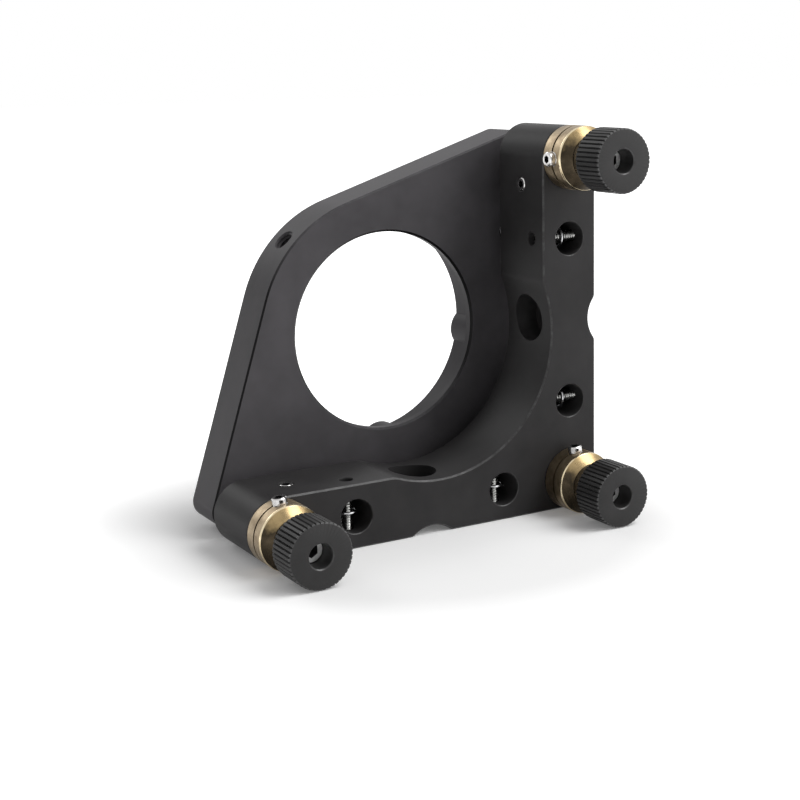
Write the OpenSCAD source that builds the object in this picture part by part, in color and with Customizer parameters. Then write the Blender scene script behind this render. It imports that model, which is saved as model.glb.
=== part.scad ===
// Kinematic mirror mount: an L-shaped base frame, a mirror plate pulled toward it by four
// extension springs, and three fine-pitch adjusters whose ball tips tilt the plate.
// X runs along the lower arm, Y from the knobs to the mirror plate, Z up the upright arm.

/* [Frame and plate] */
// Width and height of the base frame
side = 73; // [72:0.5:76]
// Depth of the base frame, front to back
base_depth = 15; // [14:0.5:18]
// Width of each arm of the base frame
arm_w = 11.8; // [11.6:0.1:12.4]
// Gap between the base frame and the mirror plate at mid travel
gap = 4.3; // [4.2:0.1:6]
// Depth of the mirror plate, front to back
plate_depth = 10; // [9.5:0.5:14]
// How far the mirror plate's straight edges stand in from the base frame's
plate_inset = 1.6; // [1.2:0.1:1.8]
// Corner radius of the mirror plate
plate_corner_r = 3.2; // [2.8:0.1:3.6]

/* [Eye] */
// Diameter of the clear aperture
clear_d = 37.6; // [30:0.2:37.8]
// Diameter of the mirror that the seat takes
mirror_d = 40; // [39:0.5:41]
// Thickness of the lip that the mirror rests against
lip = 1.8; // [1.2:0.1:2.4]
// Shift of the eye's centre toward the corner of the L, along each arm
eye_shift = 1.7; // [1.2:0.1:2]
// Radius of the base frame's inner arc
base_eye_r = 24.75; // [24.25:0.25:25]
// Wall between the mirror recess and the plate's round edge
eye_wall = 4.4; // [3.6:0.2:5]

/* [Adjusters] */
// Radius of the fine adjuster screw
screw_r = 2.5; // [2.3:0.1:2.6]
// Travel of an adjuster screw each way from mid travel
travel = 2; // [1:0.25:2.5]
// Radius of the ball tip
ball_r = 2; // [1.8:0.05:2]
// Length of the brass collar in front of the base frame
collar_len = 7; // [6.5:0.25:7.25]
// Length of a knob
knob_len = 6.8; // [6:0.2:10]
// Radius of a knob
knob_r = 5.8; // [5:0.1:5.8]
// Number of flutes around a knob
flutes = 44; // [30:1:52]

/* [Springs] */
// Distance of each spring from the middle of its arm
spring_reach = 15.5; // [15:0.25:16]
// Diameter of a spring hole
spring_hole_d = 6.3; // [6:0.1:6.5]
// Outside diameter of a spring
spring_d = 5; // [4.6:0.1:5.2]
// Wire diameter of a spring
wire_d = 0.6; // [0.5:0.05:0.7]
// Whole turns of a spring
turns = 16; // [10:1:20]

/* [Fixings] */
// Diameter of the post screw's clearance hole
post_hole_d = 5.5; // [5.2:0.1:5.8]
// Diameter of the counterbore for the post screw's head
post_head_d = 9; // [8.6:0.1:9.4]
// Thread diameter of the mirror's set-screw hole
set_screw_d = 4; // [3:0.25:4]

/* [Hidden] */
$fn = 96;

axis_in = arm_w / 2;                        // adjuster axes from the outer edges
far_axis = side - axis_in;
mid = side / 2;
eye_x = mid + eye_shift;
eye_z = mid - eye_shift;
clear_r = clear_d / 2;
seat_clear = 1.4;                           // around the mirror, between the ridges
seat_r = mirror_d / 2 + seat_clear;
plate_eye_r = seat_r + eye_wall;
plate_y = base_depth + gap;                 // front of the mirror plate
rear_y = plate_y + plate_depth;
over = 1;                                   // how far a cutter overshoots a face
knob_room = 1;                              // left in front of a collar at full travel
knob_start = collar_len + travel + knob_room;
front_y = -knob_start - knob_len;           // front of the knobs
mid_y = (front_y + rear_y) / 2;
slip = 0.02;                                // clearance of a fixed fit

notch_half = 4;
notch_depth = 1.5;
notch_r = (notch_half * notch_half + notch_depth * notch_depth) / (2 * notch_depth);
notch_blend = 1.5;
arc_blend = 5;
shoulder_steps = 6;
shoulder_nudge = 0.05;
post_y = base_depth / 2;
post_head_depth = 4.5;
arc_bottom = eye_z - base_eye_r;            // lowest point of the inner arc

ridge_in = 1.15;                            // how far a seat ridge stands in
ridge_half = 2.75;
ridge_rise = ridge_in - (seat_r - sqrt(seat_r * seat_r - ridge_half * ridge_half));
ridge_r = (ridge_half * ridge_half + ridge_rise * ridge_rise) / (2 * ridge_rise);
ridge_angles = [-7.5, -82.5];
rim = 0.4;                                  // edge break of the aperture
set_screw_y = plate_y + plate_depth / 2;

sleeve_r = 3.7;
collar_r = axis_in;
bore_r = screw_r + 0.04;
nose_r = 4.2;
nose_start = collar_len - (collar_r - nose_r);
edge_break = 0.2;
slit_y = -2.8;
slit_w = 0.45;
slit_web = 0.9;                             // metal left uncut behind the slit
lock_r = 1.35;
lock_proud = 1.1;
lock_lean = 8;                              // of a lower collar's lock screw
grub_r = 1.3;
grub_len = 4;
grub_in = 11;                               // from the arm's end
grub_offset = sleeve_r + grub_r + 0.1;      // from the bushing's axis
grub_sink = 0.3;
knob_edge = 0.35;
flute_depth = 0.32;
crest_share = 0.45;
neck_r = 2.15;                              // screw end inside the knob
neck_sink = 2.6;                            // screw end below the knob's face
hex_af = 2;
hex_depth = 2.4;
tip_len = 1;

ball_y = plate_y - 0.4;
cup_y = ball_y - 0.9;
seat_disc_r = 2.8;
seat_depth = 3;
seat_gap = 0.06;                            // between a ball and its seat
cone_tip_y = ball_y + (ball_r + seat_gap) * sqrt(2);

anchor_r = 1.2;
anchor_y = 4;
anchor_floor = 1.2;                         // blind end of the anchor hole
anchor_sink = 1;
pin_r = 0.75;
pin_half = 4.7;
pin_y = rear_y - 1.95;
coil_r = (spring_d - wire_d) / 2;
wire_r = wire_d / 2;
hook_gap = 0.12;
front_hook_r = anchor_r + wire_r + hook_gap;
rear_hook_r = pin_r + wire_r + hook_gap;
coil_start = anchor_y + 3;
coil_end = pin_y - 2.7;
steps_per_turn = 10;
wire_sides = 6;

// ---- placing -----------------------------------------------------------------

module placed() {
  translate([-mid, -mid_y, 0]) children();
}

// Copies a shape across the diagonal that swaps the lower and the upright arm.
module both_arms() {
  children();
  translate([side, 0, side]) mirror([1, 0, 1]) children();
}

module both_arms_flat() {
  children();
  translate([side, side]) mirror([1, 1]) children();
}

module at_top() {
  translate([far_axis, 0, far_axis]) children();
}

module at_corner() {
  translate([far_axis, 0, axis_in]) children();
}

module at_side() {
  translate([axis_in, 0, axis_in]) children();
}

module at_each_axis() {
  at_top() children();
  at_corner() children();
  at_side() children();
}

// Stands an outline up: its y becomes z, and it runs from y = from to y = to.
module slab(from, to) {
  translate([0, to, 0]) rotate([90, 0, 0]) linear_extrude(to - from) children();
}

// Turns a profile of [radius, y] points about the Y axis.
module turned(points) {
  rotate([-90, 0, 0]) rotate_extrude() polygon(points);
}

module rod_y(r, from, to) {
  translate([0, to, 0]) rotate([90, 0, 0]) cylinder(r = r, h = to - from);
}

module rod_z(r, from, to) {
  translate([0, 0, from]) cylinder(r = r, h = to - from);
}

// ---- base frame ----------------------------------------------------------------

// A round dish cut into the straight edge y = 0, with rounded shoulders at the given ends.
// The dish's centre lies h above the edge. A shoulder's last point lies just inside the dish,
// so that the two curves cross instead of only touching.
module dish(h, r, blend, ends) {
  reach = sqrt((r + blend) * (r + blend) - (h + blend) * (h + blend));
  touch = atan2(h + blend, -reach);
  shoulder = [
    for (i = [0 : shoulder_steps])
      let (a = 90 + (touch - 90) * i / shoulder_steps, grow = i < shoulder_steps ? 0 : shoulder_nudge)
        [reach + (blend + grow) * cos(a), (blend + grow) * sin(a) - blend]
  ];
  translate([0, h]) circle(r);
  for (end = ends) mirror([end < 0 ? 1 : 0, 0]) polygon(concat(shoulder, [[0, h], [reach, over]]));
}

module arm_outline() {
  translate([axis_in, 0]) square([far_axis - axis_in, arm_w]);
  translate([axis_in, axis_in]) circle(axis_in);
  translate([far_axis, axis_in]) circle(axis_in);
}

module base_outline() {
  difference() {
    union() {
      both_arms_flat() arm_outline();
      translate([eye_x, axis_in]) square([far_axis - eye_x, eye_z - axis_in]);
    }
    both_arms_flat() {
      translate([eye_x, arm_w]) dish(eye_z - arm_w, base_eye_r, arc_blend, [-1]);
      translate([mid, 0]) mirror([0, 1]) dish(notch_r - notch_depth, notch_r, notch_blend, [-1, 1]);
    }
  }
}

module post_hole() {
  translate([mid, post_y, 0]) {
    rod_z(post_hole_d / 2, -over, arc_bottom);
    rod_z(post_head_d / 2, arc_bottom - post_head_depth, arm_w + over);
  }
}

module spring_holes(from, to) {
  for (x = [mid - spring_reach, mid + spring_reach])
    translate([x, 0, axis_in]) rod_y(spring_hole_d / 2, from, to);
}

// The outer anchor hole opens on the arm's inner face, the other on its outer face.
module anchor_holes() {
  translate([mid - spring_reach, anchor_y, 0]) rod_z(anchor_r + slip, anchor_floor, arm_w + over);
  translate([mid + spring_reach, anchor_y, 0]) rod_z(anchor_r + slip, -over, arm_w - anchor_floor);
}

module grub_hole() {
  rod_z(grub_r + slip, 0, grub_len + grub_sink + over);
}

module at_grub_screws() {
  both_arms() translate([grub_in, post_y, arm_w - grub_len - grub_sink]) children();
  translate([side - grub_len - grub_sink, post_y, axis_in + grub_offset])
    rotate([0, 90, 0]) children();
}

module base_frame() {
  color([0.15, 0.15, 0.155]) placed() difference() {
    slab(0, base_depth) base_outline();
    at_each_axis() rod_y(sleeve_r + slip, -over, base_depth + over);
    both_arms() {
      post_hole();
      spring_holes(-over, base_depth + over);
      anchor_holes();
    }
    at_grub_screws() grub_hole();
  }
}

// ---- mirror plate --------------------------------------------------------------

// Outward angle of the taut line that touches two circles [x, y, r], going anticlockwise.
function tangent_angle(a, b) =
  atan2(b[1] - a[1], b[0] - a[0])
  - acos((a[2] - b[2]) / norm([b[0] - a[0], b[1] - a[1]]));

function rim_point(c, angle) = [c[0] + c[2] * cos(angle), c[1] + c[2] * sin(angle)];

// A taut band around circles listed anticlockwise.
module band(circles) {
  n = len(circles);
  polygon([
    for (i = [0 : n - 1], k = [0, 1])
      let (a = circles[i], b = circles[(i + 1) % n])
        rim_point(k == 0 ? a : b, tangent_angle(a, b))
  ]);
  for (c = circles) translate([c[0], c[1]]) circle(c[2]);
}

module plate_outline() {
  near = plate_inset + plate_corner_r;
  far = side - near;
  band([
    [near, near, plate_corner_r],
    [far, near, plate_corner_r],
    [far, far, plate_corner_r],
    [eye_x, eye_z, plate_eye_r]
  ]);
}

module mirror_recess_outline() {
  difference() {
    circle(seat_r);
    for (angle = ridge_angles) rotate(angle) translate([seat_r - ridge_in + ridge_r, 0]) circle(ridge_r);
  }
}

module eye_cut() {
  translate([eye_x, 0, eye_z]) {
    turned([
      [0, plate_y - over], [clear_r + rim + over, plate_y - over], [clear_r, plate_y + rim],
      [clear_r, rear_y], [0, rear_y]
    ]);
    slab(plate_y + lip, rear_y + over) mirror_recess_outline();
    translate([0, set_screw_y, 0]) rotate([0, -45, 0])
      rod_z(set_screw_d / 2, clear_r, plate_eye_r + over);
  }
}

// A slot across each spring hole, open at the back, holds the pin that the spring hooks over.
module pin_slots() {
  for (x = [mid - spring_reach, mid + spring_reach])
    translate([x - pin_half - slip, pin_y - pin_r - slip, axis_in - pin_r - slip])
      cube([2 * (pin_half + slip), rear_y - pin_y + pin_r + over, 2 * (pin_r + slip)]);
}

module mirror_plate() {
  color([0.17, 0.17, 0.18]) placed() difference() {
    slab(plate_y, rear_y) plate_outline();
    eye_cut();
    at_each_axis() rod_y(seat_disc_r + slip, plate_y - over, plate_y + seat_depth);
    both_arms() {
      spring_holes(plate_y - over, rear_y + over);
      pin_slots();
    }
  }
}

// ---- adjusters -----------------------------------------------------------------

// The collar is sawn almost through; the lock screw spreads the cut and grips the thread.
module bushing() {
  color([0.72, 0.6, 0.4]) difference() {
    turned([
      [bore_r, -collar_len], [nose_r, -collar_len], [collar_r, -nose_start],
      [collar_r, -edge_break], [collar_r - edge_break, 0], [sleeve_r, 0],
      [sleeve_r, base_depth - 2 * edge_break], [sleeve_r - edge_break, base_depth - edge_break],
      [bore_r, base_depth - edge_break]
    ]);
    translate([-collar_r - over, slit_y - slit_w / 2, slit_web - collar_r])
      cube([2 * (collar_r + over), slit_w, 2 * collar_r]);
    translate([0, slit_y, 0]) rod_z(lock_r + slip, 0, collar_r + over);
  }
}

// The top collar is turned so that its lock screw points along the arm's inner side.
module top_turn() {
  rotate([0, -90, 0]) children();
}

// The lower collars are turned a little, so that their lock screws lean toward the free end.
module lower_turn() {
  rotate([0, -lock_lean, 0]) children();
}

module top_bushing() { placed() at_top() top_turn() bushing(); }
module corner_bushing() { placed() at_corner() lower_turn() bushing(); }
module side_bushing() { placed() at_side() lower_turn() bushing(); }

module adjuster_screw() {
  color([0.75, 0.75, 0.76]) difference() {
    turned([
      [0, front_y + neck_sink], [neck_r - edge_break, front_y + neck_sink],
      [neck_r, front_y + neck_sink + edge_break], [neck_r, -knob_start], [screw_r, -knob_start],
      [screw_r, cup_y - tip_len], [neck_r, cup_y], [0, cup_y]
    ]);
    translate([0, front_y + neck_sink + hex_depth, 0]) rotate([90, 0, 0])
      cylinder(r = hex_af / sqrt(3), h = hex_depth + over, $fn = 6);
    translate([0, ball_y, 0]) sphere(ball_r + slip * 2);
  }
}

module top_adjuster_screw() { placed() at_top() adjuster_screw(); }
module corner_adjuster_screw() { placed() at_corner() adjuster_screw(); }
module side_adjuster_screw() { placed() at_side() adjuster_screw(); }

module ball_tip() {
  color([0.8, 0.8, 0.82]) translate([0, ball_y, 0]) rotate([90, 0, 0]) sphere(ball_r);
}

module top_ball_tip() { placed() at_top() ball_tip(); }
module corner_ball_tip() { placed() at_corner() ball_tip(); }
module side_ball_tip() { placed() at_side() ball_tip(); }

module fluted_outline() {
  pitch = 360 / flutes;
  crest = pitch * crest_share / 2;
  root_r = knob_r - flute_depth;
  outer_r = knob_r + flute_depth;
  polygon([
    for (i = [0 : flutes - 1], k = [-1, 0, 1])
      let (r = k == 0 ? root_r : outer_r, a = i * pitch + k * (pitch / 2 - crest))
        [r * cos(a), r * sin(a)]
  ]);
}

module knob() {
  bore = neck_r + slip;
  color([0.14, 0.14, 0.145]) intersection() {
    turned([
      [bore, front_y + edge_break], [bore + edge_break, front_y], [knob_r - knob_edge, front_y],
      [knob_r, front_y + knob_edge], [knob_r, -knob_start - knob_edge],
      [knob_r - knob_edge, -knob_start], [bore, -knob_start]
    ]);
    slab(front_y - over, over - knob_start) fluted_outline();
  }
}

module top_knob() { placed() at_top() knob(); }
module corner_knob() { placed() at_corner() knob(); }
module side_knob() { placed() at_side() knob(); }

// ---- seats in the mirror plate ---------------------------------------------------

module seat_disc(from) {
  rod_y(seat_disc_r, from, plate_y + seat_depth);
}

module cone_seat() {
  mouth_y = plate_y - over;
  color([0.7, 0.7, 0.72]) placed() at_corner() difference() {
    seat_disc(plate_y);
    turned([[0, mouth_y], [cone_tip_y - mouth_y, mouth_y], [0, cone_tip_y]]);
  }
}

// The vee runs along the lower arm, toward the cone.
module vee_seat() {
  mouth_y = plate_y - over;
  half = cone_tip_y - mouth_y;
  length = 2 * (seat_disc_r + over);
  color([0.7, 0.7, 0.72]) placed() at_side() difference() {
    seat_disc(plate_y);
    translate([-length / 2, 0, 0]) rotate([90, 0, 90]) linear_extrude(length)
      polygon([[mouth_y, -half], [cone_tip_y, 0], [mouth_y, half]]);
  }
}

module flat_seat() {
  color([0.7, 0.7, 0.72]) placed() at_top() seat_disc(ball_y + ball_r + seat_gap);
}

// ---- springs -------------------------------------------------------------------

function unit(v) = v / norm(v);

// Centre line of a spring along Y: an open hook round the anchor screw, which lies along Z,
// the stretched coil, and an open hook round the plate's pin, which lies along X.
function spring_path() = concat(
  [for (a = [-160 : 20 : 0]) [front_hook_r * cos(a), anchor_y + front_hook_r * sin(a), 0]],
  [for (i = [0 : steps_per_turn * turns + steps_per_turn / 4])
    let (a = 360 * i / steps_per_turn, share = i / (steps_per_turn * (turns + 0.25)))
      [coil_r * cos(a), coil_start + (coil_end - coil_start) * share, coil_r * sin(a)]],
  [for (a = [0 : 20 : 160]) [0, pin_y + rear_hook_r * sin(a), rear_hook_r * cos(a)]]
);

// Sweeps a round wire along a path, carrying its side direction from point to point.
module wire(path, r, sides) {
  n = len(path);
  heading = [for (i = [0 : n - 1]) unit(path[min(i + 1, n - 1)] - path[max(i - 1, 0)])];
  first = unit(cross(heading[0], [0.1, 0.2, 1]));
  across = [
    for (i = 0, v = first; i < n; i = i + 1, v = i < n ? unit(v - (v * heading[i]) * heading[i]) : v) v
  ];
  points = [
    for (i = [0 : n - 1], k = [0 : sides - 1])
      let (a = 360 * k / sides)
        path[i] + r * (cos(a) * across[i] + sin(a) * cross(heading[i], across[i]))
  ];
  walls = [
    for (i = [0 : n - 2], k = [0 : sides - 1])
      let (a = i * sides + k, b = i * sides + (k + 1) % sides)
        each [[a, b, b + sides], [a, b + sides, a + sides]]
  ];
  start = [for (k = [1 : sides - 2]) [0, k + 1, k]];
  end = [for (k = [1 : sides - 2]) [(n - 1) * sides, (n - 1) * sides + k, (n - 1) * sides + k + 1]];
  polyhedron(points, concat(walls, start, end));
}

module spring_at(x, z, turn) {
  color([0.7, 0.7, 0.72]) placed() translate([x, 0, z]) rotate([0, turn, 0])
    wire(spring_path(), wire_r, wire_sides);
}

module left_spring() { spring_at(mid - spring_reach, axis_in, 0); }
module right_spring() { spring_at(mid + spring_reach, axis_in, 0); }
module lower_spring() { spring_at(far_axis, mid - spring_reach, 90); }
module upper_spring() { spring_at(far_axis, mid + spring_reach, 90); }

// ---- fasteners -----------------------------------------------------------------

// A headless screw along Z whose socket is at its upper end.
module set_screw(r, from, to, af) {
  depth = 1.2 * af;
  difference() {
    translate([0, 0, from]) rotate_extrude() polygon([
      [0, 0], [r - edge_break, 0], [r, edge_break],
      [r, to - from - edge_break], [r - edge_break, to - from], [0, to - from]
    ]);
    translate([0, 0, to - depth]) cylinder(r = af / sqrt(3), h = depth + over, $fn = 6);
  }
}

module collar_lock_screw() {
  translate([0, slit_y, 0]) set_screw(lock_r, bore_r + 0.3, collar_r + lock_proud, 1.3);
}

module collar_lock_screws() {
  color([0.78, 0.78, 0.8]) placed() {
    at_top() top_turn() collar_lock_screw();
    at_corner() lower_turn() collar_lock_screw();
    at_side() lower_turn() collar_lock_screw();
  }
}

module bushing_grub_screws() {
  color([0.78, 0.78, 0.8]) placed() at_grub_screws() set_screw(grub_r, 0.1, grub_len, 1.3);
}

module spring_anchor_screws() {
  color([0.6, 0.6, 0.62]) placed() both_arms() {
    translate([mid - spring_reach, anchor_y, 0])
      set_screw(anchor_r, anchor_floor + 0.1, arm_w - anchor_sink, 1.3);
    translate([mid + spring_reach, anchor_y, arm_w]) rotate([180, 0, 0])
      set_screw(anchor_r, anchor_floor + 0.1, arm_w - anchor_sink, 1.3);
  }
}

module plate_spring_pins() {
  color([0.7, 0.7, 0.72]) placed() both_arms()
    for (x = [mid - spring_reach, mid + spring_reach])
      translate([x - pin_half, pin_y, axis_in]) rotate([0, 90, 0]) cylinder(r = pin_r, h = 2 * pin_half);
}

base_frame();
mirror_plate();
top_bushing();
corner_bushing();
side_bushing();
top_adjuster_screw();
corner_adjuster_screw();
side_adjuster_screw();
top_ball_tip();
corner_ball_tip();
side_ball_tip();
top_knob();
corner_knob();
side_knob();
upper_spring();
lower_spring();
left_spring();
right_spring();
cone_seat();
vee_seat();
flat_seat();
collar_lock_screws();
bushing_grub_screws();
spring_anchor_screws();
plate_spring_pins();
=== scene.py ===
# Kinematic mirror mount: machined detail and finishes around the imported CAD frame.
# Pieces are drawn in millimetres from the base frame's front lower left corner,
# X along the lower arm, Y from the knobs to the mirror plate, Z up, and then set in the frame.
import math

import bpy
from mathutils import Euler, Matrix, Vector


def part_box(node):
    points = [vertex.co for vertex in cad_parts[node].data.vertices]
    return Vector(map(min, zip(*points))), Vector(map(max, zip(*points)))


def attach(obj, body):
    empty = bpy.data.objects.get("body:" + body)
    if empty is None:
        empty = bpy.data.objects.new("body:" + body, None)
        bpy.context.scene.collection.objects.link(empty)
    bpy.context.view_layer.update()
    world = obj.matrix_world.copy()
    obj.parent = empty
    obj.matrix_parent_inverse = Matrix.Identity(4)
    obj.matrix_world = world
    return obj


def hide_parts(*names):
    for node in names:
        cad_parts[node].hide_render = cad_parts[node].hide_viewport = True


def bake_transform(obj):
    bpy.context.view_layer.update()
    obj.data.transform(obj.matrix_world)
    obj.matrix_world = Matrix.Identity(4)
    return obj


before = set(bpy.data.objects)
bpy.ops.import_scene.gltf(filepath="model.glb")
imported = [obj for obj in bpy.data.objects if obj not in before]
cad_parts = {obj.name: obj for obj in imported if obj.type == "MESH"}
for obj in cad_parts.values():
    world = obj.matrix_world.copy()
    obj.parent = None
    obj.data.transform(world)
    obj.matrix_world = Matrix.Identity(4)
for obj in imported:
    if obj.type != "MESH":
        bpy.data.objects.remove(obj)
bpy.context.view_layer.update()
perMetre = 1000
smoothAngle = 32
threadShare = 0.6  # the depth of a thread over its pitch
past = 1  # how far a cutter reaches past what it cuts
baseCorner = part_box("base_frame")[0] * perMetre


def placeOf(node):
    # a node's lowest corner, highest corner and middle, in millimetres from the base's corner
    low, high = (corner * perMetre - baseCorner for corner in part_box(node))
    return low, high, (low + high) / 2


baseSize = placeOf("base_frame")[1]  # the base's lowest corner is at zero
plateLow, plateHigh, plateMid = placeOf("mirror_plate")
axes = {name: placeOf(name + "_bushing")[2] for name in ("top", "corner", "side")}

print("frame loaded")


def clearSelection():
    if bpy.context.object and bpy.context.object.mode != "OBJECT":
        bpy.ops.object.mode_set(mode="OBJECT")
    bpy.ops.object.select_all(action="DESELECT")


def activate(piece):
    clearSelection()
    piece.select_set(True)
    bpy.context.view_layer.objects.active = piece


def openMesh(piece):
    activate(piece)
    bpy.ops.object.mode_set(mode="EDIT")
    bpy.ops.mesh.select_mode(type="VERT")


def closeMesh():
    bpy.ops.object.mode_set(mode="OBJECT")
    return bpy.context.object


def pickVertices(piece, wanted):
    # every face and edge is let go first, so that only the wanted vertices are picked
    openMesh(piece)
    bpy.ops.mesh.select_all(action="DESELECT")
    closeMesh()
    for vertex in piece.data.vertices:
        vertex.select = wanted(vertex.co)
    openMesh(piece)


def cleanMesh(gap=0.001):
    bpy.ops.mesh.select_all(action="SELECT")
    bpy.ops.mesh.remove_doubles(threshold=gap)
    bpy.ops.mesh.normals_make_consistent(inside=False)


def startPoint(name, place):
    # an object of one vertex, left open for extruding
    clearSelection()
    bpy.ops.mesh.primitive_plane_add(size=1, location=(0, 0, 0))
    piece = bpy.context.object
    piece.name = name
    bpy.ops.object.mode_set(mode="EDIT")
    bpy.ops.mesh.select_mode(type="VERT")
    bpy.ops.mesh.select_all(action="SELECT")
    bpy.ops.mesh.merge(type="CENTER")
    bpy.ops.mesh.select_all(action="SELECT")
    bpy.ops.transform.translate(value=place)
    return piece


def slab(name, start, moves, front, rear, edge=0.0, arcStep=1.2):
    # an outline in X and Z: a pair is a straight run to that point, a triple turns about x, z by degrees
    startPoint(name, (start[0], front, start[1]))
    x, z = start
    for move in moves:
        if len(move) == 2:
            step = (move[0] - x, 0, move[1] - z)
            bpy.ops.mesh.extrude_region_move(TRANSFORM_OT_translate={"value": step})
            x, z = move
        else:
            cx, cz, angle = move[0], move[1], math.radians(move[2])
            reach = math.hypot(x - cx, z - cz)
            steps = max(4, round(abs(angle) * reach / arcStep), round(abs(move[2]) / 4))
            bpy.ops.mesh.spin(steps=steps, angle=angle, center=(cx, front, cz), axis=(0, 1, 0))
            dx, dz = x - cx, z - cz
            x = cx + dx * math.cos(angle) - dz * math.sin(angle)
            z = cz + dx * math.sin(angle) + dz * math.cos(angle)
    bpy.ops.mesh.select_all(action="SELECT")
    bpy.ops.mesh.remove_doubles(threshold=0.001)
    bpy.ops.mesh.edge_face_add()
    bpy.ops.mesh.extrude_region_move(TRANSFORM_OT_translate={"value": (0, rear - front, 0)})
    cleanMesh()
    if edge:
        breakRims(edge)
    return closeMesh()


def breakRims(edge, manySides=8):
    # a flat chamfer round the two end faces, which are the ones with many sides
    bpy.ops.mesh.select_mode(type="FACE")
    bpy.ops.mesh.select_all(action="DESELECT")
    bpy.ops.mesh.select_face_by_sides(number=manySides, type="GREATER")
    bpy.ops.mesh.region_to_loop()
    bpy.ops.mesh.bevel(offset=edge, segments=1, affect="EDGES", clamp_overlap=True)
    bpy.ops.mesh.select_mode(type="VERT")


def turnedPiece(name, profile, steps=96, closed=False):
    # spins a profile of (radius, y) about the Y axis
    startPoint(name, (*profile[0], 0))
    points = profile + profile[:1] if closed else profile
    for (r0, y0), (r1, y1) in zip(points, points[1:]):
        bpy.ops.mesh.extrude_region_move(TRANSFORM_OT_translate={"value": (r1 - r0, y1 - y0, 0)})
    bpy.ops.mesh.select_all(action="SELECT")
    bpy.ops.mesh.remove_doubles(threshold=0.0005)
    bpy.ops.mesh.spin(steps=steps, angle=2 * math.pi, center=(0, 0, 0), axis=(0, 1, 0))
    cleanMesh(0.0005)
    return closeMesh()


def threadedRod(name, radius, pitch, start, end, steps=36):
    # one tooth is wound up the Y axis, then both ends are cut square and filled
    root = radius - threadShare * pitch
    piece = startPoint(name, (root, start - pitch, 0))
    for step in ((radius - root, pitch / 2, 0), (root - radius, pitch / 2, 0)):
        bpy.ops.mesh.extrude_region_move(TRANSFORM_OT_translate={"value": step})
    closeMesh()
    wind = piece.modifiers.new("wind", "SCREW")
    wind.axis = "Y"
    wind.angle = 2 * math.pi
    wind.screw_offset = pitch
    wind.iterations = math.ceil((end - start) / pitch) + 2
    wind.steps = steps
    wind.render_steps = steps
    activate(piece)
    bpy.ops.object.modifier_apply(modifier=wind.name)
    openMesh(piece)
    cleanMesh(pitch / 100)
    for y, side in ((start, -1), (end, 1)):
        bpy.ops.mesh.select_all(action="SELECT")
        bpy.ops.mesh.bisect(plane_co=(0, y, 0), plane_no=(0, side, 0), use_fill=True, clear_outer=True)
    cleanMesh(pitch / 200)
    return closeMesh()


def prism(name, sides, radius, start, end):
    # a straight bar along Y
    clearSelection()
    bpy.ops.mesh.primitive_cylinder_add(vertices=sides, radius=radius, depth=end - start)
    piece = bpy.context.object
    piece.name = name
    return stand(piece, (0, (start + end) / 2, 0), (90, 0, 0))


def turnOf(angles):
    return Euler([math.radians(angle) for angle in angles])


def stand(piece, place, turn=(0, 0, 0)):
    piece.location = place
    piece.rotation_euler = turnOf(turn)
    activate(piece)
    bpy.ops.object.transform_apply(location=True, rotation=True, scale=True)
    return piece


def shape(piece, cutters, kind="DIFFERENCE"):
    for cutter in cutters:
        boolean = piece.modifiers.new("shape", "BOOLEAN")
        boolean.operation = kind
        boolean.solver = "EXACT"
        boolean.object = cutter
        activate(piece)
        bpy.ops.object.modifier_apply(modifier=boolean.name)
        bpy.data.objects.remove(cutter)
    return piece


def weld(pieces, name):
    # joins loose solids into one object
    activate(pieces[0])
    for other in pieces[1:]:
        other.select_set(True)
    bpy.ops.object.join()
    bpy.context.object.name = name
    return bpy.context.object


def dress(piece, *names):
    for name in names:
        piece.data.materials.append(finishes[name])
    return piece


def paintFaces(piece, index, wanted):
    # gives another of the piece's finishes to the faces that are wanted by middle and normal
    for face in piece.data.polygons:
        if wanted(face.center, face.normal):
            face.material_index = index


def paintChamfers(piece, front, rear, reach=0.3):
    # the sloping faces close behind the front and close before the rear
    def isChamfer(at, facing):
        return 0.3 < abs(facing.y) < 0.95 and (front < at.y < front + reach or rear - reach < at.y < rear)

    paintFaces(piece, 1, isChamfer)


def copyOf(piece, name):
    twin = piece.copy()
    twin.data = piece.data.copy()
    twin.name = name
    bpy.context.scene.collection.objects.link(twin)
    return twin


def hole(radius, start, end, mouth=0.25, sides=64):
    # a cutter along Y that also breaks the edge of its mouth at y = start
    return turnedPiece("cutter", [
        (0, start - past), (radius + mouth + past, start - past), (radius, start + mouth),
        (radius, end), (0, end)
    ], sides)


def block(size, place):
    # a cutter with square corners
    clearSelection()
    bpy.ops.mesh.primitive_cube_add(size=1)
    piece = bpy.context.object
    piece.scale = size
    return stand(piece, place)


def setInFrame(piece, nodes, body=None):
    # millimetres to metres, then the nodes it stands for and the body it rides on
    piece.location = baseCorner / perMetre
    piece.scale = [1 / perMetre] * 3
    activate(piece)
    bpy.ops.object.transform_apply(location=True, rotation=True, scale=True)
    bpy.ops.object.shade_smooth_by_angle(angle=math.radians(smoothAngle))
    weigh = piece.modifiers.new("weigh", "WEIGHTED_NORMAL")
    weigh.keep_sharp = True
    bpy.ops.object.modifier_apply(modifier=weigh.name)
    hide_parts(*nodes)
    if body:
        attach(piece, body)
    clearSelection()


class Signal:
    # a shader socket that can be used in an expression
    def __init__(self, finish, socket):
        self.finish = finish
        self.socket = socket

    def math(self, operation, first, second):
        return self.finish.add("ShaderNodeMath", {"operation": operation}, {0: first, 1: second})

    def __add__(self, other):
        return self.math("ADD", self, other)

    def __radd__(self, other):
        return self.math("ADD", other, self)

    def __sub__(self, other):
        return self.math("SUBTRACT", self, other)

    def __rsub__(self, other):
        return self.math("SUBTRACT", other, self)

    def __mul__(self, other):
        return self.math("MULTIPLY", self, other)

    def __rmul__(self, other):
        return self.math("MULTIPLY", other, self)


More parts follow.
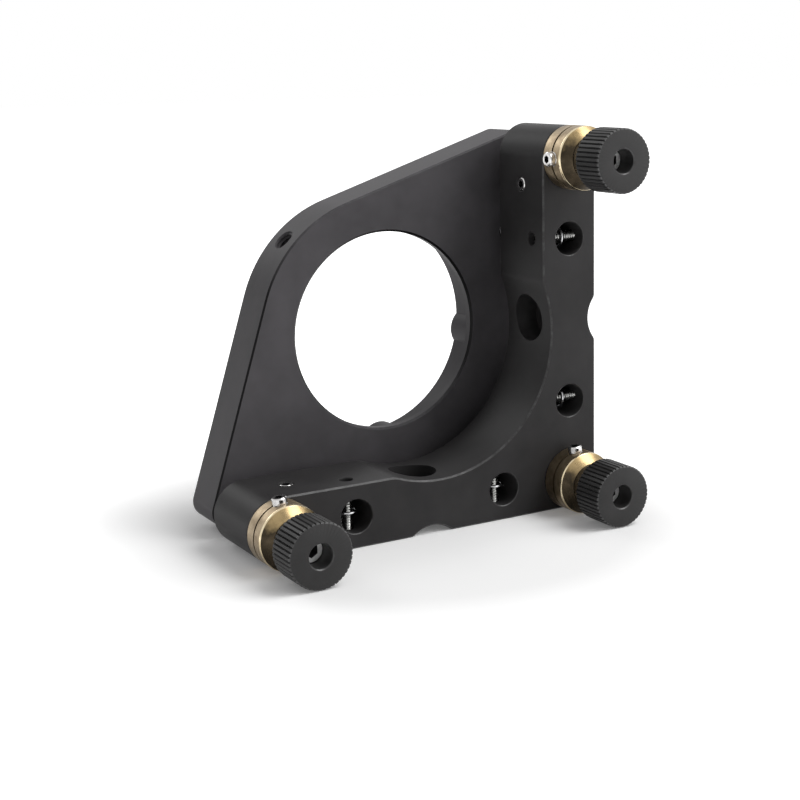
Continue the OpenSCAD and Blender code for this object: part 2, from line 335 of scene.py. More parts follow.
class Finish:
    # the nodes of a material or of the world
    def __init__(self, owner):
        self.owner = owner
        owner.use_nodes = True
        self.tree = owner.node_tree
        self.shader = self.tree.nodes.get("Principled BSDF")
        self.place = self.add("ShaderNodeTexCoord", out="Object")

    def add(self, kind, settings=None, inputs=None, out=0):
        node = self.tree.nodes.new(kind)
        for key, value in (settings or {}).items():
            setattr(node, key, value)
        for key, value in (inputs or {}).items():
            self.feed(node.inputs[key], value)
        return Signal(self, node.outputs[out])

    def feed(self, socket, value):
        if isinstance(value, Signal):
            self.tree.links.new(value.socket, socket)
        else:
            socket.default_value = value

    def set(self, **values):
        # sockets of the main shader, with a space in a name written as an underscore
        for key, value in values.items():
            self.feed(self.shader.inputs[key.replace("_", " ")], value)

    def noise(self, size, detail=2.0, roughness=0.5, stretch=(1, 1, 1)):
        # cloudy variation whose features are about size millimetres across
        place = self.add("ShaderNodeMapping", None, {"Vector": self.place, "Scale": stretch})
        return self.add("ShaderNodeTexNoise", None, {
            "Vector": place, "Scale": perMetre / size, "Detail": detail, "Roughness": roughness
        }, "Fac")

    def curve(self, value, low, high, start=0.0, end=1.0):
        return self.add("ShaderNodeMapRange", {"clamp": True}, {
            "Value": value, "From Min": low, "From Max": high, "To Min": start, "To Max": end
        })

    def blendColours(self, factor, first, second):
        # inputs 6 and 7 and output 2 are the mix node's colours
        first, second = ((*one, 1) if isinstance(one, tuple) else one for one in (first, second))
        return self.add("ShaderNodeMix", {"data_type": "RGBA"}, {"Factor": factor, 6: first, 7: second}, 2)

    def facingUp(self):
        # 1 where the surface faces straight up, 0 where it faces aside
        facing = self.add("ShaderNodeNewGeometry", out="Normal")
        return self.add("ShaderNodeSeparateXYZ", None, {0: facing}, "Z")

    def bump(self, height, depth):
        # depth is in millimetres
        self.set(Normal=self.add("ShaderNodeBump", None, {
            "Strength": 1.0, "Distance": depth / perMetre, "Height": height
        }))


# the paler colour of the edges: partly wear and partly a painted highlight
wearAndEdgeHighlightShade = (0.3, 0.3, 0.305)


def blackAnodised(name, shade, rough, gloss=0.07, grain=0.12, bite=0.005, wearAndEdgeHighlight=0.0, paintedSideShade=None):
    # dyed anodising over a fine bead-blasted skin, slightly cloudy;
    # an edge may be paler in patches, partly wear and partly a painted highlight,
    # and an edge that faces aside or down may be painted darker, as painted shade
    finish = Finish(bpy.data.materials.new(name))
    cloud = finish.noise(9, 3, 0.55)
    speck = finish.noise(grain, 2, 0.6)
    wearAndHighlight = finish.noise(1.6, 4, 0.65)
    dark, light = (tuple(share * part for part in shade) for share in (0.85, 1.15))
    colour = finish.blendColours(finish.curve(cloud, 0.3, 0.7), dark, light)
    # paler patches on the edges: partly wear and partly a painted highlight
    colour = finish.blendColours(finish.curve(wearAndHighlight, 0.42, 0.68, 0.0, wearAndEdgeHighlight), colour, wearAndEdgeHighlightShade)
    # painted shade: darker where the surface faces aside or down
    if paintedSideShade:
        colour = finish.blendColours(finish.curve(finish.facingUp(), 0.25, 0.6), paintedSideShade, colour)
    finish.set(
        Base_Color=colour,
        Specular_IOR_Level=gloss,
        Roughness=finish.curve(cloud * 0.6 + speck * 0.4, 0.3, 0.7, rough - 0.05, rough + 0.05),
    )
    finish.bump(speck, bite)
    return finish.owner


def turnedMetal(name, colour, tarnish, rough, ring=0.09, bite=0.004, wearAndHighlight=None):
    # lathe marks run round the axis, so the pattern is drawn out across it;
    # the top may get a painted highlight, a lighter colour where the surface faces up
    finish = Finish(bpy.data.materials.new(name))
    rings = finish.noise(ring, 2, 0.6, (0.05, 1, 0.05))
    cloud = finish.noise(2.6, 3, 0.6)
    stain = finish.blendColours(finish.curve(cloud, 0.36, 0.66), colour, tarnish)
    if wearAndHighlight:
        # painted highlight: lighter where the surface faces up
        paintedTopLight = finish.facingUp() + (cloud - 0.5) * 0.7
        stain = finish.blendColours(finish.curve(paintedTopLight, 0.3, 0.66), stain, wearAndHighlight)
    finish.set(
        Base_Color=stain,
        Metallic=1.0,
        Roughness=finish.curve(rings * 0.5 + cloud * 0.5, 0.3, 0.7, rough - 0.06, rough + 0.07),
    )
    finish.bump(rings, bite)
    return finish.owner


def groundSteel(name, colour, rough, size=0.3, bite=0.002):
    # bright steel with short fine scratches and a breath of grey oxide
    finish = Finish(bpy.data.materials.new(name))
    scratch = finish.noise(size, 3, 0.7, (1, 0.22, 1))
    cloud = finish.noise(1.4, 3, 0.6)
    grey = tuple(0.62 * part for part in colour)
    shade = finish.blendColours(finish.curve(cloud, 0.35, 0.75), colour, grey)
    finish.set(
        Base_Color=shade,
        Metallic=1.0,
        Roughness=finish.curve(scratch * 0.6 + cloud * 0.4, 0.3, 0.7, rough - 0.05, rough + 0.08),
    )
    finish.bump(scratch, bite)
    return finish.owner


frameShade = (0.034, 0.0329, 0.0335)
plateShade = (0.072, 0.0686, 0.0732)
knobShade = (0.039, 0.0382, 0.0383)
finishes = {
    "base": blackAnodised("matteBlackFrame", frameShade, 0.4),
    # the frame's chamfers are paler in patches: partly wear and partly a painted highlight
    "baseEdge": blackAnodised("matteBlackFrameEdge", frameShade, 0.32, 0.25, wearAndEdgeHighlight=0.16),
    "plate": blackAnodised("matteBlackPlate", plateShade, 0.42),
    # the plate's chamfers that face aside or down are painted darker, which is painted shade
    "plateEdge": blackAnodised(
        "matteBlackPlateEdge", plateShade, 0.36, 0.1, wearAndEdgeHighlight=0.08, paintedSideShade=(0.006, 0.006, 0.0062)
    ),
    "knob": blackAnodised("matteBlackKnob", knobShade, 0.4, 0.12, 0.08, 0.004),
    # the knob's chamfers are paler in patches: partly wear and partly a painted highlight
    "knobEdge": blackAnodised("matteBlackKnobEdge", knobShade, 0.3, 0.4, 0.08, 0.004, 0.15),
    "brass": turnedMetal("satinBrass", (0.37, 0.295, 0.195), (0.22, 0.165, 0.103), 0.4),
    # the cone between collar and knob: the brass painted in shade, with a painted highlight on its top
    "brassConeShadeAndHighlight": turnedMetal(
        "brassPaintedShadeAndHighlight", (0.06, 0.046, 0.03), (0.03, 0.024, 0.016), 0.27, wearAndHighlight=(0.36, 0.265, 0.135)
    ),
    # the rim between ring and cone: the brass painted lighter, a painted highlight
    "brassEdgeHighlight": turnedMetal("brassPaintedHighlight", (0.8, 0.7, 0.5), (0.62, 0.5, 0.32), 0.2),
    "screw": groundSteel("threadSteel", (0.5, 0.5, 0.5), 0.24),
    # the screw's end face: the steel painted lighter, a painted highlight
    "screwEndHighlight": groundSteel("steelPaintedHighlight", (0.9, 0.9, 0.89), 0.5),
    "ball": groundSteel("polishedBall", (0.72, 0.72, 0.74), 0.1, 0.5, 0.0004),
    "wire": groundSteel("springWire", (0.55, 0.55, 0.56), 0.22),
    "seat": groundSteel("groundSeat", (0.5, 0.5, 0.52), 0.22, 0.15),
    "socket": groundSteel("socketSteel", (0.72, 0.71, 0.7), 0.16),
    # the inside of a hex socket: the steel painted dark, which is painted shade
    "socketShade": groundSteel("paintedSocketShade", (0.1, 0.1, 0.1), 0.3),
    "anchor": groundSteel("anchorSteel", (0.6, 0.6, 0.59), 0.15),
    "pin": groundSteel("pinSteel", (0.56, 0.56, 0.57), 0.18),
}
print("finishes made")


base = {
    "size": baseSize.x, "depth": baseSize.y, "armWidth": 11.8, "edge": 0.3,
    "eye": (38.2, 34.8), "arcRadius": 24.75, "arcBlend": 5,
    "notchHalf": 4, "notchDepth": 1.5, "notchBlend": 1.5,
    "boreRadius": 3.72, "postHole": 2.75, "postHead": 4.5, "postHeadDepth": 4.5,
    "springReach": 15.5, "springHole": 3.15,
    "anchorHole": 1.22, "anchorDepth": 4, "anchorFloor": 1.2,
    "grubHole": 1.32, "grubFromEnd": 11, "grubOffset": 5.1, "grubDepth": 4.3,
}
middle = base["size"] / 2
armMiddle = base["armWidth"] / 2
farAxis = base["size"] - armMiddle
nearSpring, farSpring = middle - base["springReach"], middle + base["springReach"]
innerFace = base["size"] - base["armWidth"]
rearward, upward, downward = (0, 0, 0), (90, 0, 0), (-90, 0, 0)
leftward, rightward = (0, 0, 90), (0, 0, -90)
springPlaces = (
    # name, x, z, and whether it is in the upright arm
    ("left", nearSpring, armMiddle, False), ("right", farSpring, armMiddle, False),
    ("lower", farAxis, nearSpring, True), ("upper", farAxis, farSpring, True),
)
anchorPlaces = (
    ((nearSpring, base["anchorDepth"], base["armWidth"]), downward),
    ((farSpring, base["anchorDepth"], 0), upward),
    ((innerFace, base["anchorDepth"], farSpring), rightward),
    ((base["size"], base["anchorDepth"], nearSpring), leftward),
)
grubPlaces = (
    ((base["grubFromEnd"], base["depth"] / 2, base["armWidth"]), downward),
    ((innerFace, base["depth"] / 2, base["size"] - base["grubFromEnd"]), rightward),
    ((base["size"], base["depth"] / 2, armMiddle + base["grubOffset"]), leftward),
)


def baseOutline():
    # anticlockwise from the lower arm's left end, and the upright arm is the lower arm's mirror image
    size, width, half = base["size"], base["armWidth"], armMiddle
    notch = (base["notchHalf"] ** 2 + base["notchDepth"] ** 2) / (2 * base["notchDepth"])
    sunk, soft = notch - base["notchDepth"], base["notchBlend"]
    reach = math.sqrt((notch + soft) ** 2 - (sunk + soft) ** 2)
    lean = math.degrees(math.asin(reach / (notch + soft)))
    eyeX, eyeZ = base["eye"]
    shoulder = base["arcBlend"]
    rise = eyeZ - width + shoulder
    spread = math.sqrt((base["arcRadius"] + shoulder) ** 2 - rise ** 2)
    tip = math.degrees(math.asin(spread / (base["arcRadius"] + shoulder)))
    return (half, 0), [
        (middle - reach, 0), (middle - reach, soft, lean), (middle, -sunk, -2 * lean),
        (middle + reach, soft, lean), (farAxis, 0), (farAxis, half, 90),
        (size, middle - reach), (size - soft, middle - reach, lean), (size + sunk, middle, -2 * lean),
        (size - soft, middle + reach, lean), (size, farAxis), (farAxis, farAxis, 180),
        (size - width, eyeZ + spread), (size - width + shoulder, eyeZ + spread, tip),
        (eyeX, eyeZ, -90 - 2 * tip), (eyeX - spread, width - shoulder, tip),
        (half, width), (half, half, 180),
    ]


def drill(radius, depth, place, turn, mouth=0.15):
    return stand(hole(radius, 0, depth, mouth), place, turn)


def postCutter(place, turn):
    # clearance hole from the outer edge, and the counterbore on the inner arc
    floor = base["eye"][1] - base["arcRadius"] - base["postHeadDepth"]
    return stand(turnedPiece("cutter", [
        (0, -past), (base["postHole"], -past), (base["postHole"], floor), (base["postHead"], floor),
        (base["postHead"], base["armWidth"] + past), (0, base["armWidth"] + past)
    ], 72), place, turn)


def makeBase():
    depth, through = base["depth"], base["depth"] + past
    piece = slab("baseFrameBody", *baseOutline(), 0, depth, base["edge"])
    cutters = [drill(base["boreRadius"], through, (at.x, 0, at.z), rearward) for at in axes.values()]
    for name, x, z, upright in springPlaces:
        cutters.append(drill(base["springHole"], through, (x, 0, z), rearward))
    for place, turn in anchorPlaces:
        cutters.append(drill(base["anchorHole"], base["armWidth"] - base["anchorFloor"], place, turn))
    for place, turn in grubPlaces:
        cutters.append(drill(base["grubHole"], base["grubDepth"], place, turn))
    cutters.append(postCutter((middle, depth / 2, 0), upward))
    cutters.append(postCutter((base["size"], depth / 2, middle), leftward))
    dress(shape(piece, cutters), "base", "baseEdge")
    paintChamfers(piece, 0, depth)
    setInFrame(piece, ["base_frame"], "base")


makeBase()
print("base frame made")


plate = {
    "inset": 1.6, "cornerRadius": 3.2, "edge": 0.3, "eyeRadius": 25.8,
    "clearRadius": 18.8, "rim": 0.4, "lip": 1.8, "seatRadius": 21.4,
    "ridgeIn": 1.15, "ridgeHalf": 2.75, "ridgeAngles": (-7.5, -82.5),
    "setScrewRadius": 2.0, "setScrewPitch": 0.7, "setScrewReach": 8, "setScrewMouth": 0.3,
    "seatPocket": 2.82, "seatDepth": 3,
    "slotHalfLength": 4.72, "slotHalfWidth": 0.77, "pinFromRear": 1.95,
}
plateFront, plateRear = plateLow.y, plateHigh.y
pinY = plateRear - plate["pinFromRear"]


def plateOutline():
    # a taut band round three small corners and the large round of the eye
    eyeX, eyeZ = base["eye"]
    near = plate["inset"] + plate["cornerRadius"]
    far = base["size"] - near
    apart = math.hypot(far - eyeX, far - eyeZ)
    lean = math.degrees(
        math.atan2(eyeZ - far, eyeX - far) - math.acos((plate["cornerRadius"] - plate["eyeRadius"]) / apart)
    ) + 360
    sweep = 270 - 2 * lean
    reach, angle = plate["eyeRadius"], math.radians(lean)
    touch = (eyeX + reach * math.cos(angle), eyeZ + reach * math.sin(angle))
    low = (near - plate["cornerRadius"] * math.sin(angle), near - plate["cornerRadius"] * math.cos(angle))
    return (near, plate["inset"]), [
        (far, plate["inset"]), (far, near, 90), (base["size"] - plate["inset"], far), (far, far, lean),
        touch, (eyeX, eyeZ, sweep), low, (near, near, lean),
    ]


def recessCutter():
    # the mirror's pocket, whose wall carries two low ridges
    eyeX, eyeZ = base["eye"]
    seat, half = plate["seatRadius"], plate["ridgeHalf"]
    chord = math.sqrt(seat ** 2 - half ** 2)
    rise = plate["ridgeIn"] - (seat - chord)
    ridge = (half ** 2 + rise ** 2) / (2 * rise)
    away = seat - plate["ridgeIn"] + ridge
    opening = math.degrees(math.asin(half / seat))
    bulge = 2 * math.degrees(math.asin(half / ridge))
    right, lower = plate["ridgeAngles"]

    def onCircle(reach, angle):
        turn = math.radians(angle)
        return eyeX + reach * math.cos(turn), eyeZ + reach * math.sin(turn)

    return slab("cutter", onCircle(seat, right + opening), [
        (eyeX, eyeZ, 360 + lower - right - 2 * opening), (*onCircle(away, lower), -bulge),
        (eyeX, eyeZ, right - lower - 2 * opening), (*onCircle(away, right), -bulge),
    ], plateFront + plate["lip"], plateRear + past)


def makePlate():
    eyeX, eyeZ = base["eye"]
    piece = slab("mirrorPlateBody", *plateOutline(), plateFront, plateRear, plate["edge"])
    clear, rim = plate["clearRadius"], plate["rim"]
    through = plateRear - plateFront + past
    cutters = [
        stand(hole(clear, 0, through, rim, 160), (eyeX, plateFront, eyeZ)),
        recessCutter(),
    ]
    for at in axes.values():
        cutters.append(drill(plate["seatPocket"], plate["seatDepth"], (at.x, plateFront, at.z), rearward))
    slotLong, slotWide = 2 * plate["slotHalfLength"], 2 * plate["slotHalfWidth"]
    slotDeep = plateRear + past - pinY + plate["slotHalfWidth"]
    slotMiddle = pinY - plate["slotHalfWidth"] + slotDeep / 2
    for name, x, z, upright in springPlaces:
        cutters.append(drill(base["springHole"], through, (x, plateFront, z), rearward))
        slot = (slotWide, slotDeep, slotLong) if upright else (slotLong, slotDeep, slotWide)
        cutters.append(block(slot, (x, slotMiddle, z)))
    bore, lead = plate["setScrewRadius"], plate["setScrewMouth"]
    thread = threadedRod("cutter", bore, plate["setScrewPitch"], -past, plate["setScrewReach"])
    mouth = hole(bore - 0.05, 0, lead + 0.1, lead)
    inward = plate["eyeRadius"] / math.sqrt(2)
    for cutter in (thread, mouth):
        cutters.append(stand(cutter, (eyeX - inward, plateMid.y, eyeZ + inward), (-90, -45, 0)))
    dress(shape(piece, cutters), "plate", "plateEdge")
    paintChamfers(piece, plateFront, plateRear)
    setInFrame(piece, ["mirror_plate"], "plate")


makePlate()
print("mirror plate made")


collar = {
    "radius": 5.9, "length": 7, "noseRadius": 4.2, "bore": 2.54, "sleeve": 3.7, "sleeveEnd": 14.8,
    "break": 0.2, "rim": 0.28, "slitAt": -2.8, "slitWidth": 0.45, "slitWeb": 0.9,
    "lockHole": 1.37, "lockMouth": 0.2,
}
collarTurns = {"top": -90, "corner": -8, "side": -8}


def makeCollars():
    radius, nose, length, bore = collar["radius"], collar["noseRadius"], collar["length"], collar["bore"]
    chip, rim, sleeve, end = collar["break"], collar["rim"], collar["sleeve"], collar["sleeveEnd"]
    cone, slitAt = -length + radius - nose, collar["slitAt"]
    model = turnedPiece("collar", [
        (bore, -length + chip), (bore + chip, -length), (nose - chip, -length), (nose, -length + chip / 2),
        (radius - rim / 2, cone - rim / 2), (radius, cone + rim), (radius, -chip), (radius - chip, 0),
        (sleeve, 0), (sleeve, end - 2 * chip), (sleeve - chip, end), (bore, end),
    ], 128, closed=True)
    saw = block((2 * (radius + past), collar["slitWidth"], 2 * radius), (0, slitAt, collar["slitWeb"]))
    lock = hole(collar["lockHole"], 0, radius, collar["lockMouth"])
    stand(lock, (0, slitAt, radius), downward)
    dress(shape(model, [saw, lock]), "brass", "brassConeShadeAndHighlight", "brassEdgeHighlight")
    coneEnd, rimEnd = cone - rim / 2, cone + rim
    # the cone gets the brass painted in shade, with a painted highlight on top
    paintFaces(model, 1, lambda at, facing: at.y < coneEnd and 0.3 < -facing.y < 0.9)
    # the rim gets the brass painted lighter, a painted highlight
    paintFaces(model, 2, lambda at, facing: coneEnd < at.y < rimEnd and 0.05 < -facing.y < 0.9)
    for name, at in axes.items():
        twin = stand(copyOf(model, name + "Collar"), (at.x, 0, at.z), (0, collarTurns[name], 0))
        setInFrame(twin, [name + "_bushing"], "base")
    bpy.data.objects.remove(model)


makeCollars()
print("collars made")


screw = {
    "radius": 2.5, "pitch": 0.25, "threadStart": -10, "threadEnd": 17, "tipRadius": 2.15, "tipEnd": 18,
    "headStart": -12.9, "headRadius": 2.15, "hexAcross": 2.3, "hexDepth": 2.4, "break": 0.12,
    "tipBreak": 0.35, "ballRadius": 2, "ballAt": 18.9,
}
knob = {
    "radius": 5.8, "front": -16.8, "rear": -10, "bore": 2.17, "flutes": 44, "fluteDepth": 0.32,
    "stepsPerFlute": 6, "fluteBottom": 2, "fluteFlank": 1.35,
    "chamfer": 0.25, "bend": 0.3, "boreBreak": 0.2,
}


def makeScrew():
    radius, chip = screw["radius"], screw["break"]
    head, neck = screw["headStart"], screw["headRadius"]
    start, end, tip = screw["threadStart"], screw["threadEnd"], screw["tipRadius"]
    model = threadedRod("screw", radius, screw["pitch"], start, end)
    shank = turnedPiece("shank", [
        (0, head), (neck - chip, head), (neck, head + chip), (neck, start + 1), (0, start + 1)
    ])
    corner = screw["hexAcross"] / math.sqrt(3)
    shape(shank, [prism("cutter", 6, corner, head - past, head + screw["hexDepth"])])
    cup = turnedPiece("cup", [
        (0, end - 1), (tip, end - 1), (tip, end),
        (tip - screw["tipBreak"], screw["tipEnd"]), (0, screw["tipEnd"])
    ])
    piece = dress(weld([model, shank, cup], "screw"), "screw", "screwEndHighlight", "socketShade")
    endFace = head + 0.02
    # the end face gets the steel painted lighter, a painted highlight
    paintFaces(piece, 1, lambda at, facing: at.y < endFace)
    # the socket's walls get the steel painted dark, which is painted shade
    paintFaces(piece, 2, lambda at, facing: endFace < at.y < start and math.hypot(at.x, at.z) < corner)
    return piece


def makeBall():
    radius, steps = screw["ballRadius"], 24
    piece = turnedPiece("ball", [
        (radius * math.sin(math.pi * i / steps), screw["ballAt"] - radius * math.cos(math.pi * i / steps))
        for i in range(steps + 1)
    ], 64)
    return dress(piece, "ball")


def makeKnob():
    # a blank whose flutes are drawn in toward its axis, cut to length, bored and chamfered
    radius, front, rear = knob["radius"], knob["front"], knob["rear"]
    deep, perFlute = knob["fluteDepth"], knob["stepsPerFlute"]
    around, outer = perFlute * knob["flutes"], radius + deep
    piece = prism("knob", around, outer, front - past, rear + past)

    def stepsFromFlute(at):
        step = round(math.atan2(at.z, at.x) / (2 * math.pi) * around) % perFlute
        return min(step, perFlute - step)

    for steps, sink in ((0, knob["fluteBottom"] * deep), (1, knob["fluteFlank"] * deep)):
        pickVertices(piece, lambda at: stepsFromFlute(at) == steps)
        share = (outer - sink) / outer
        bpy.ops.transform.resize(value=(share, 1, share), center_override=(0, 0, 0))
    closeMesh()
    edge, bore, chip = knob["chamfer"], knob["bore"], knob["boreBreak"]
    bend = knob["bend"] * edge
    blank = turnedPiece("blank", [
        (bore, front + chip), (bore + chip, front), (radius - edge, front),
        (radius - bend, front + bend), (radius, front + edge),
        (radius, rear - edge), (radius - edge, rear), (bore, rear)
    ], 176, closed=True)
    dress(shape(piece, [blank], "INTERSECT"), "knob", "knobEdge")
    paintChamfers(piece, front, rear)
    return piece


def makeAdjusters():
    screwModel, ballModel, knobModel = makeScrew(), makeBall(), makeKnob()
    for name, at in axes.items():
        for model, part, slot, node, body in (
            (screwModel, "Screw", "screw_steel", "_adjuster_screw", "_adjuster"),
            (ballModel, "Ball", "ball_steel", "_ball_tip", "_tip"),
            (knobModel, "Knob", "knob_black", "_knob", "_adjuster"),
        ):
            twin = stand(copyOf(model, name + part), (at.x, 0, at.z))
            setInFrame(twin, [name + node], name + body)
    for model in (screwModel, ballModel, knobModel):
        bpy.data.objects.remove(model)


makeAdjusters()
print("adjusters made")


seat = {"radius": 2.8, "depth": 3, "gap": 0.06, "break": 0.1}
crossPin = {"radius": 0.75, "halfLength": 4.7, "break": 0.12}


def makeSeats():
    # the corner ball stands in a cone, the side one in a groove, and the top one on a flat
    radius, rear, chip = seat["radius"], plateFront + seat["depth"], seat["break"]
    reach = screw["ballRadius"] + seat["gap"]
    tip = screw["ballAt"] + reach * math.sqrt(2)
    wide = tip - plateFront
    cone = turnedPiece("coneSeat", [
        (0, tip), (wide, plateFront), (radius, plateFront), (radius, rear), (0, rear)
    ], 72)
    vee = turnedPiece("veeSeat", [(0, plateFront), (radius, plateFront), (radius, rear), (0, rear)], 72)
    spread = wide + past
    groove = startPoint("cutter", (-radius - past, tip, 0))
    for step in ((0, -spread, -spread), (0, 0, 2 * spread)):
        bpy.ops.mesh.extrude_region_move(TRANSFORM_OT_translate={"value": step})
    bpy.ops.mesh.select_all(action="SELECT")
    bpy.ops.mesh.edge_face_add()
    bpy.ops.mesh.extrude_region_move(TRANSFORM_OT_translate={"value": (2 * (radius + past), 0, 0)})
    cleanMesh()
    closeMesh()
    shape(vee, [groove])
    face = screw["ballAt"] + reach
    flat = turnedPiece("flatSeat", [
        (0, face), (radius - chip, face), (radius, face + chip), (radius, rear), (0, rear)
    ], 72)
    for name, piece, node in (
        ("corner", cone, "cone_seat"), ("side", vee, "vee_seat"), ("top", flat, "flat_seat")
    ):
        stand(piece, (axes[name].x, 0, axes[name].z))
        setInFrame(dress(piece, "seat"), [node], "plate")


def makePins():
    radius, half, chip = crossPin["radius"], crossPin["halfLength"], crossPin["break"]
    model = turnedPiece("pin", [
        (0, -half), (radius - chip, -half), (radius, chip - half),
        (radius, half - chip), (radius - chip, half), (0, half)
    ], 32)
    pins = [stand(copyOf(model, "pin"), (x, pinY, z), upward if upright else leftward)
            for name, x, z, upright in springPlaces]
    bpy.data.objects.remove(model)
    setInFrame(dress(weld(pins, "springPins"), "pin"), ["plate_spring_pins"], "plate")


makeSeats()
makePins()
print("seats and pins made")


setScrews = {
    "lock": {"radius": 1.35, "pitch": 0.45, "length": 4.1, "plain": 1.1, "sunk": 0, "finish": "socket"},
    "grub": {"radius": 1.3, "pitch": 0.45, "length": 3.9, "plain": 0.5, "sunk": 0.05, "finish": "socket"},
    "anchor": {"radius": 1.2, "pitch": 0.5, "length": 9.5, "plain": 0.5, "sunk": 1, "finish": "anchor"},
    "lockTop": 7, "hexAcross": 1.3, "hexDepth": 1.56, "break": 0.2, "relief": 0.02,
}


def setScrew(kind):
    # points along Y, with its socket face at y = 0, a plain length and then its thread behind it
    size, chip, relief = setScrews[kind], setScrews["break"], setScrews["relief"]
    plain, length, corner = size["plain"], size["length"], setScrews["hexAcross"] / math.sqrt(3)
    neck = size["radius"] - relief
    thread = threadedRod(kind, size["radius"], size["pitch"], plain - 0.1, length, 32)
    head = turnedPiece("head", [(0, 0), (neck - chip, 0), (neck, chip), (neck, plain), (0, plain)], 48)
    socket = prism("cutter", 6, corner, -past, setScrews["hexDepth"])
    piece = shape(shape(head, [thread], "UNION"), [socket])
    dress(piece, size["finish"], "socketShade")
    inside = corner + relief

    def isInSocket(at, facing):
        return at.y > relief and math.hypot(at.x, at.z) < inside < length - at.y

    # the socket's walls get the steel painted dark, which is painted shade
    paintFaces(piece, 1, isInSocket)
    return piece


def makeSetScrews():
    # a lock screw stands out of its collar, and the others are sunk below the faces they enter
    out = Vector((0, collar["slitAt"], setScrews["lockTop"]))
    lockPlaces = []
    for name, at in axes.items():
        outward = turnOf((0, collarTurns[name], 0)).to_matrix() @ out
        turn = rightward if name == "top" else (-90, collarTurns[name], 0)
        lockPlaces.append((Vector((at.x, 0, at.z)) + outward, turn))
    for name, slot, node, kind, places in (
        ("collarLockScrews", "socket_screw_steel", "collar_lock_screws", "lock", lockPlaces),
        ("bushingGrubScrews", "socket_screw_steel", "bushing_grub_screws", "grub", grubPlaces),
        ("springAnchorScrews", "anchor_steel", "spring_anchor_screws", "anchor", anchorPlaces),
    ):
        model, copies = setScrew(kind), []
        for place, turn in places:
            inward = turnOf(turn).to_matrix() @ Vector((0, setScrews[kind]["sunk"], 0))
            copies.append(stand(copyOf(model, kind), Vector(place) + inward, turn))
        setInFrame(weld(copies, name), [node], "base")
        bpy.data.objects.remove(model)


makeSetScrews()
print("set screws made")


spring = {
    "coilRadius": 2.2, "wireRadius": 0.3, "turns": 16.25, "coilStart": 7, "coilEnd": 24.65,
    "frontHook": 2.0, "frontAngle": 145, "rearHook": 1.17, "rearAngle": 160,
    "hookSteps": 16, "pointsPerTurn": 36, "roundness": 3,
}


def springRoute():
    # an open hook round the anchor, the stretched coil, and an open hook round the plate's pin
    start, end = spring["coilStart"], spring["coilEnd"]
    front, back, coil = spring["frontHook"], spring["rearHook"], spring["coilRadius"]
    onAnchor = base["anchorDepth"] - setScrews["anchor"]["radius"] - spring["wireRadius"] + front
    shares = [step / spring["hookSteps"] for step in range(spring["hookSteps"] + 1)]
    route = []
    for share in shares:
        angle = math.radians(spring["frontAngle"] * (share - 1))
        route.append((front * math.cos(angle), onAnchor + front * math.sin(angle), 0))
    count = round(spring["turns"] * spring["pointsPerTurn"])
    for step in range(count + 1):
        angle = 2 * math.pi * step / spring["pointsPerTurn"]
        route.append((coil * math.cos(angle), start + (end - start) * step / count, coil * math.sin(angle)))
    for share in shares:
        angle = math.radians(spring["rearAngle"] * share)
        route.append((0, pinY + back * math.sin(angle), back * math.cos(angle)))
    return route


def wirePiece(name, route):
    curve = bpy.data.curves.new(name, "CURVE")
    curve.dimensions = "3D"
    curve.bevel_depth = spring["wireRadius"]
    curve.bevel_resolution = spring["roundness"]
    curve.use_fill_caps = True
    spline = curve.splines.new("POLY")
    spline.points.add(len(route) - 1)
    for point, place in zip(spline.points, route):
        point.co = (*place, 1)
    piece = bpy.data.objects.new(name, curve)
    bpy.context.scene.collection.objects.link(piece)
    activate(piece)
    bpy.ops.object.convert(target="MESH")
    return bpy.context.object


def makeSprings():
    # each spring is three lengths in line
    route = springRoute()
    start, end = spring["coilStart"], spring["coilEnd"]
    thirds = [start + (end - start) * share / 3 for share in (1, 2)]
    inner = [min(range(len(route)), key=lambda i: abs(route[i][1] - y)) for y in thirds]
    cuts = [0, *inner, len(route) - 1]
    parts = ("Front", "Middle", "Rear")
    models = [wirePiece(part, route[first:last + 1]) for part, first, last in zip(parts, cuts, cuts[1:])]
    for name, x, z, upright in springPlaces:
        for index, part in enumerate(parts):
            piece = copyOf(models[index], name + "Spring" + part)
            stand(piece, (x, 0, z), (0, 90 if upright else 0, 0))
            setInFrame(dress(piece, "wire"), [name + "_spring"])
            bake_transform(piece)
    for model in models:
        bpy.data.objects.remove(model)


makeSprings()
print("springs made")


stage = {
    "floorSize": 6, "floorShades": ((0.88, 0.88, 0.88), (0.9, 0.9, 0.9)),
    "sky": 0.28, "glow": 0.12, "glowStart": 0.04, "glowEnd": 0.095,
}
lamps = (
    # name, place, aim, width, height, watts
    ("keyLamp", (0.5, -0.3, 0.85), (0, 0, 0.035), 0.6, 0.6, 5.5),
    ("frontLamp", (0.62, -0.72, 0.4), (0, 0, 0.035), 0.9, 0.9, 5.5),
    ("rearLamp", (-0.3, 0.8, 0.6), (0, 0, 0.035), 0.5, 0.4, 1.4),
)
camera = {
    "azimuth": -31.6953, "elevation": 11.2737, "roll": -0.8217, "place": (-0.133149, -0.239904, 0.084899),
    "lens": 68.84, "sensor": 36, "shift": (-0.1033, -0.0437), "nearest": 0.01,
}


def seenDirectly(finish):
    # 1 for what the eye, a gloss or a glass sees, 0 for what lights the object
    eye, gloss, glass = (finish.add("ShaderNodeLightPath", out=kind)
                         for kind in ("Is Camera Ray", "Is Glossy Ray", "Is Transmission Ray"))
    return finish.add("ShaderNodeMath", {"operation": "ADD", "use_clamp": True}, {0: eye + gloss, 1: glass})


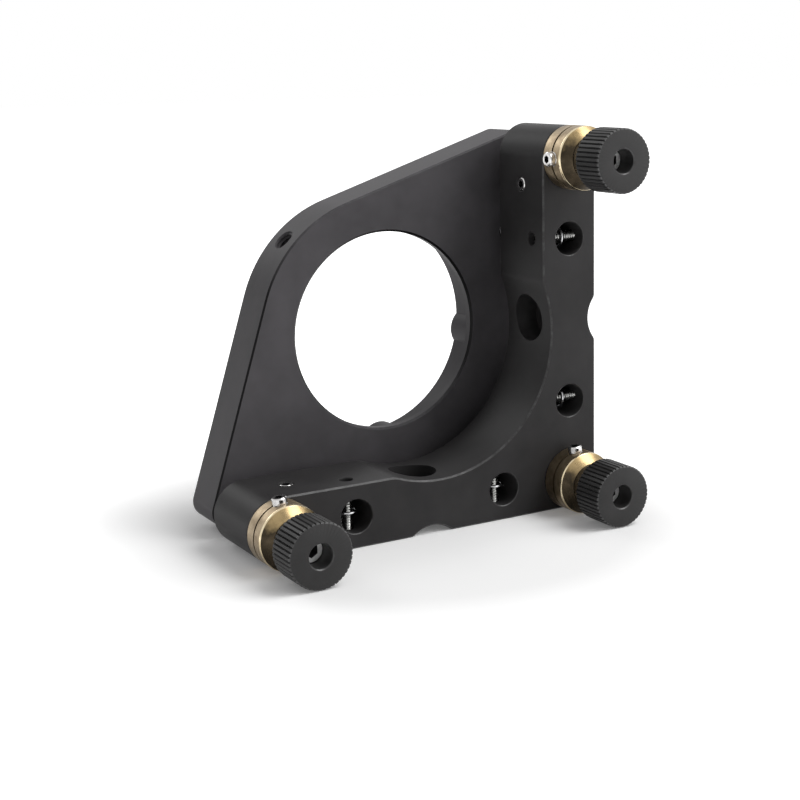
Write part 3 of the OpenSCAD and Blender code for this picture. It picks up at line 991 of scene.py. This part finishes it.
def makeFloor():
    # the floor keeps the object's shadow near it and fades to plain white further off
    clearSelection()
    bpy.ops.mesh.primitive_plane_add(size=stage["floorSize"])
    floor = bpy.context.object
    floor.name = "floor"
    finish = Finish(bpy.data.materials.new("paleFloor"))
    tone = finish.noise(900, 2, 0.5)
    away = finish.add("ShaderNodeVectorMath", {"operation": "LENGTH"}, {0: finish.place}, "Value")
    glow = finish.curve(away, stage["glowStart"], stage["glowEnd"], stage["glow"], 1.0)
    finish.set(
        Base_Color=finish.blendColours(tone, *stage["floorShades"]),
        Emission_Color=glow * seenDirectly(finish),
        Emission_Strength=1.0,
        Specular_IOR_Level=0.0,
        Roughness=0.9,
    )
    floor.data.materials.append(finish.owner)


def makeSky():
    finish = Finish(bpy.data.worlds.new("paleRoom"))
    bpy.context.scene.world = finish.owner
    background = finish.tree.nodes["Background"]
    background.inputs["Color"].default_value = (1, 1, 1, 1)
    finish.feed(background.inputs["Strength"], seenDirectly(finish) * (1 - stage["sky"]) + stage["sky"])


def makeLamps():
    for name, place, aim, width, height, watts in lamps:
        light = bpy.data.lights.new(name, "AREA")
        light.shape = "RECTANGLE"
        light.size, light.size_y = width, height
        light.energy = watts
        lamp = bpy.data.objects.new(name, light)
        lamp.location = place
        lamp.rotation_euler = (Vector(aim) - Vector(place)).to_track_quat("-Z", "Y").to_euler()
        bpy.context.scene.collection.objects.link(lamp)


def makeCamera():
    turn, lift, roll = (math.radians(camera[key]) for key in ("azimuth", "elevation", "roll"))
    right = Vector((math.cos(turn), math.sin(turn), 0))
    back = Vector((math.sin(turn) * math.cos(lift), -math.cos(turn) * math.cos(lift), math.sin(lift)))
    up = back.cross(right)
    across = right * math.cos(roll) + up * math.sin(roll)
    upright = up * math.cos(roll) - right * math.sin(roll)
    lens = bpy.data.cameras.new("camera")
    lens.lens, lens.sensor_width = camera["lens"], camera["sensor"]
    lens.shift_x, lens.shift_y = camera["shift"]
    lens.clip_start = camera["nearest"]
    eye = bpy.data.objects.new("camera", lens)
    aim = Matrix((across, upright, back)).transposed().to_4x4()
    eye.matrix_world = Matrix.Translation(camera["place"]) @ aim
    bpy.context.scene.collection.objects.link(eye)
    bpy.context.scene.camera = eye


makeFloor()
makeSky()
makeLamps()
makeCamera()
bpy.context.scene.view_settings.view_transform = "Standard"
print("stage set")
